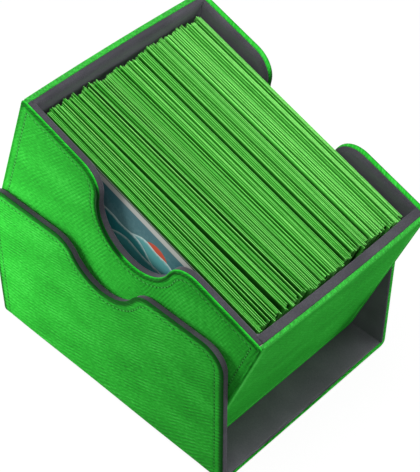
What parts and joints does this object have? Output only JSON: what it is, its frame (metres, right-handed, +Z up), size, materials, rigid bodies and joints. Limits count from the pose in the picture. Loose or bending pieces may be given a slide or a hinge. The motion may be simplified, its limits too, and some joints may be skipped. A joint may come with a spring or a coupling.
{
  "type": "card box with lift-out tray",
  "caption": "Covered card box: a wave-edged cover turned over as a stand, with a notched tray of sleeved cards leaning in it, ready to lift out.",
  "frame": {"origin": "middle of the flat underside of the cover, on the surface that the box stands on", "axes": "+Z up; +X along the box, towards the cover's open end, where the tray leans down; +Y from the front panel to the back panel"},
  "size_m": [0.1211, 0.0812, 0.1068],
  "materials": {
    "green_covering": "matte",
    "grey_lining": "matte",
    "greyboard": "matte",
    "magnet": "satin",
    "card_sleeve": "satin",
    "front_card": "satin"
  },
  "bodies": {
    "cover": {"cover_outer_skin": "green_covering", "cover_floor_lining": "grey_lining", "cover_base_board": "greyboard", "cover_magnets": "magnet", "cover_front_board": "greyboard", "cover_front_lining": "grey_lining", "cover_back_board": "greyboard", "cover_back_lining": "grey_lining", "cover_end_skin": "green_covering", "cover_end_board": "greyboard", "cover_end_lining": "grey_lining"},
    "tray": {"tray_outer_skin": "green_covering", "tray_floor_lining": "grey_lining", "tray_base_board": "greyboard", "tray_magnets": "magnet", "tray_front_board": "greyboard", "tray_front_lining": "grey_lining", "tray_back_board": "greyboard", "tray_back_lining": "grey_lining", "tray_left_end_skin": "green_covering", "tray_left_end_board": "greyboard", "tray_left_end_lining": "grey_lining", "tray_right_end_skin": "green_covering", "tray_right_end_board": "greyboard", "tray_right_end_lining": "grey_lining"},
    "deck": {"front_card": "front_card", "sleeved_cards": "card_sleeve"}
  },
  "joints": [
    {"name": "tray_lift", "type": "slide", "parent": "cover", "child": "tray", "axis": [0, 0, 1], "range_m": [0, 0.065]},
    {"name": "deck_lift", "type": "slide", "parent": "tray", "child": "deck", "axis": [0.332, 0, 0.9433], "range_m": [0, 0.075]}
  ]
}
